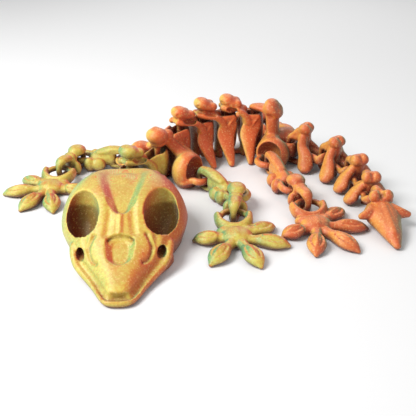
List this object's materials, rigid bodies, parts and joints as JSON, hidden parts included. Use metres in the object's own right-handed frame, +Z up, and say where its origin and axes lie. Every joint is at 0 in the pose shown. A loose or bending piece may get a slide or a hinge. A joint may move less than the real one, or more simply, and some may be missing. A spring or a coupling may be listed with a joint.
{
  "type": "articulated toy gecko skeleton",
  "caption": "Print-in-place plastic toy of a gecko skeleton, with skull, ribs, limbs and tail linked loop through loop so that it bends level on a table.",
  "frame": {"origin": "middle of the toy's plan, on the table it lies on", "axes": "+Z up, -Y the way the skull faces, +X towards the animal's left; the trunk and tail bend round to +X"},
  "size_m": [0.1832, 0.1916, 0.0336],
  "materials": {
    "front_print": "satin silk print, pale yellow that turns green or orange with the light",
    "rear_print": "satin silk print, orange that turns gold or green with the light"
  },
  "bodies": {
    "skull": {"skull": "front_print"},
    "neck": {"neck": "front_print"},
    "shoulder_girdle": {"shoulder_girdle": "rear_print"},
    "rib_vertebra_1": {"rib_vertebra_1": "rear_print"},
    "rib_vertebra_2": {"rib_vertebra_2": "rear_print"},
    "rib_vertebra_3": {"rib_vertebra_3": "rear_print"},
    "pelvis": {"pelvis": "rear_print"},
    "tail_1": {"tail_1": "rear_print"},
    "tail_2": {"tail_2": "rear_print"},
    "tail_3": {"tail_3": "rear_print"},
    "tail_4": {"tail_4": "rear_print"},
    "tail_tip": {"tail_tip": "rear_print"},
    "left_front_upper": {"left_front_upper": "front_print"},
    "left_front_lower": {"left_front_lower": "front_print"},
    "left_front_foot": {"left_front_foot": "front_print"},
    "left_hind_upper": {"left_hind_upper": "rear_print"},
    "left_hind_lower": {"left_hind_lower": "rear_print"},
    "left_hind_foot": {"left_hind_foot": "rear_print"},
    "right_front_upper": {"right_front_upper": "front_print"},
    "right_front_lower": {"right_front_lower": "front_print"},
    "right_front_foot": {"right_front_foot": "front_print"},
    "right_hind_upper": {"right_hind_upper": "rear_print"},
    "right_hind_lower": {"right_hind_lower": "rear_print"},
    "right_hind_foot": {"right_hind_foot": "rear_print"}
  },
  "joints": [
    {"name": "neck_hinge", "type": "hinge", "parent": "shoulder_girdle", "child": "neck", "pos_m": [-0.01881, 0.00189, 0.008], "axis": [0, 0, 1], "range_deg": [-6, 2]},
    {"name": "skull_hinge", "type": "hinge", "parent": "neck", "child": "skull", "pos_m": [-0.03101, -0.01251, 0.008], "axis": [0, 0, 1], "range_deg": [-10, 2]},
    {"name": "rib_vertebra_1_hinge", "type": "hinge", "parent": "shoulder_girdle", "child": "rib_vertebra_1", "pos_m": [-0.00881, 0.02019, 0.008], "axis": [0, 0, 1], "range_deg": [0, 12]},
    {"name": "rib_vertebra_2_hinge", "type": "hinge", "parent": "rib_vertebra_1", "child": "rib_vertebra_2", "pos_m": [0.00229, 0.02899, 0.008], "axis": [0, 0, 1], "range_deg": [0, 12]},
    {"name": "rib_vertebra_3_hinge", "type": "hinge", "parent": "rib_vertebra_2", "child": "rib_vertebra_3", "pos_m": [0.01539, 0.03389, 0.008], "axis": [0, 0, 1], "range_deg": [0, 12]},
    {"name": "pelvis_hinge", "type": "hinge", "parent": "rib_vertebra_3", "child": "pelvis", "pos_m": [0.02929, 0.03549, 0.008], "axis": [0, 0, 1], "range_deg": [0, 14]},
    {"name": "tail_1_hinge", "type": "hinge", "parent": "pelvis", "child": "tail_1", "pos_m": [0.04749, 0.02359, 0.008], "axis": [0, 0, 1], "range_deg": [0, 20]},
    {"name": "tail_2_hinge", "type": "hinge", "parent": "tail_1", "child": "tail_2", "pos_m": [0.06289, 0.01459, 0.008], "axis": [0, 0, 1], "range_deg": [0, 20]},
    {"name": "tail_3_hinge", "type": "hinge", "parent": "tail_2", "child": "tail_3", "pos_m": [0.07349, 0.00179, 0.008], "axis": [0, 0, 1], "range_deg": [0, 20]},
    {"name": "tail_4_hinge", "type": "hinge", "parent": "tail_3", "child": "tail_4", "pos_m": [0.07869, -0.01201, 0.008], "axis": [0, 0, 1], "range_deg": [-1, 20]},
    {"name": "tail_tip_hinge", "type": "hinge", "parent": "tail_4", "child": "tail_tip", "pos_m": [0.07929, -0.02621, 0.008], "axis": [0, 0, 1], "range_deg": [-2, 20]},
    {"name": "left_front_upper_hinge", "type": "hinge", "parent": "shoulder_girdle", "child": "left_front_upper", "pos_m": [0.00154, -0.00467, 0.008], "axis": [0, 0, 1], "range_deg": [-3, 1]},
    {"name": "left_front_lower_hinge", "type": "hinge", "parent": "left_front_upper", "child": "left_front_lower", "pos_m": [0.01874, -0.02169, 0.008], "axis": [0, 0, 1], "range_deg": [-4, 2]},
    {"name": "left_front_foot_hinge", "type": "hinge", "parent": "left_front_lower", "child": "left_front_foot", "pos_m": [0.01633, -0.04074, 0.008], "axis": [0, 0, 1], "range_deg": [-10, 4]},
    {"name": "left_hind_upper_hinge", "type": "hinge", "parent": "pelvis", "child": "left_hind_upper", "pos_m": [0.03559, 0.01333, 0.008], "axis": [0, 0, 1], "range_deg": [-2, 0]},
    {"name": "left_hind_lower_hinge", "type": "hinge", "parent": "left_hind_upper", "child": "left_hind_lower", "pos_m": [0.04463, -0.0137, 0.008], "axis": [0, 0, 1], "range_deg": [-3, 1]},
    {"name": "left_hind_foot_hinge", "type": "hinge", "parent": "left_hind_lower", "child": "left_hind_foot", "pos_m": [0.04963, -0.03172, 0.008], "axis": [0, 0, 1], "range_deg": [-6, 4]},
    {"name": "right_front_upper_hinge", "type": "hinge", "parent": "shoulder_girdle", "child": "right_front_upper", "pos_m": [-0.03532, 0.01547, 0.008], "axis": [0, 0, 1], "range_deg": [-40, 8]},
    {"name": "right_front_lower_hinge", "type": "hinge", "parent": "right_front_upper", "child": "right_front_lower", "pos_m": [-0.05922, 0.01926, 0.008], "axis": [0, 0, 1], "range_deg": [-40, 6]},
    {"name": "right_front_foot_hinge", "type": "hinge", "parent": "right_front_lower", "child": "right_front_foot", "pos_m": [-0.06764, 0.002, 0.008], "axis": [0, 0, 1], "range_deg": [-35, 25]},
    {"name": "right_hind_upper_hinge", "type": "hinge", "parent": "pelvis", "child": "right_hind_upper", "pos_m": [0.05212, 0.03861, 0.008], "axis": [0, 0, 1], "range_deg": [-35, 3]},
    {"name": "right_hind_lower_hinge", "type": "hinge", "parent": "right_hind_upper", "child": "right_hind_lower", "pos_m": [0.04007, 0.06444, 0.008], "axis": [0, 0, 1], "range_deg": [-35, 3]},
    {"name": "right_hind_foot_hinge", "type": "hinge", "parent": "right_hind_lower", "child": "right_hind_foot", "pos_m": [0.02201, 0.06928, 0.008], "axis": [0, 0, 1], "range_deg": [-30, 10]}
  ]
}
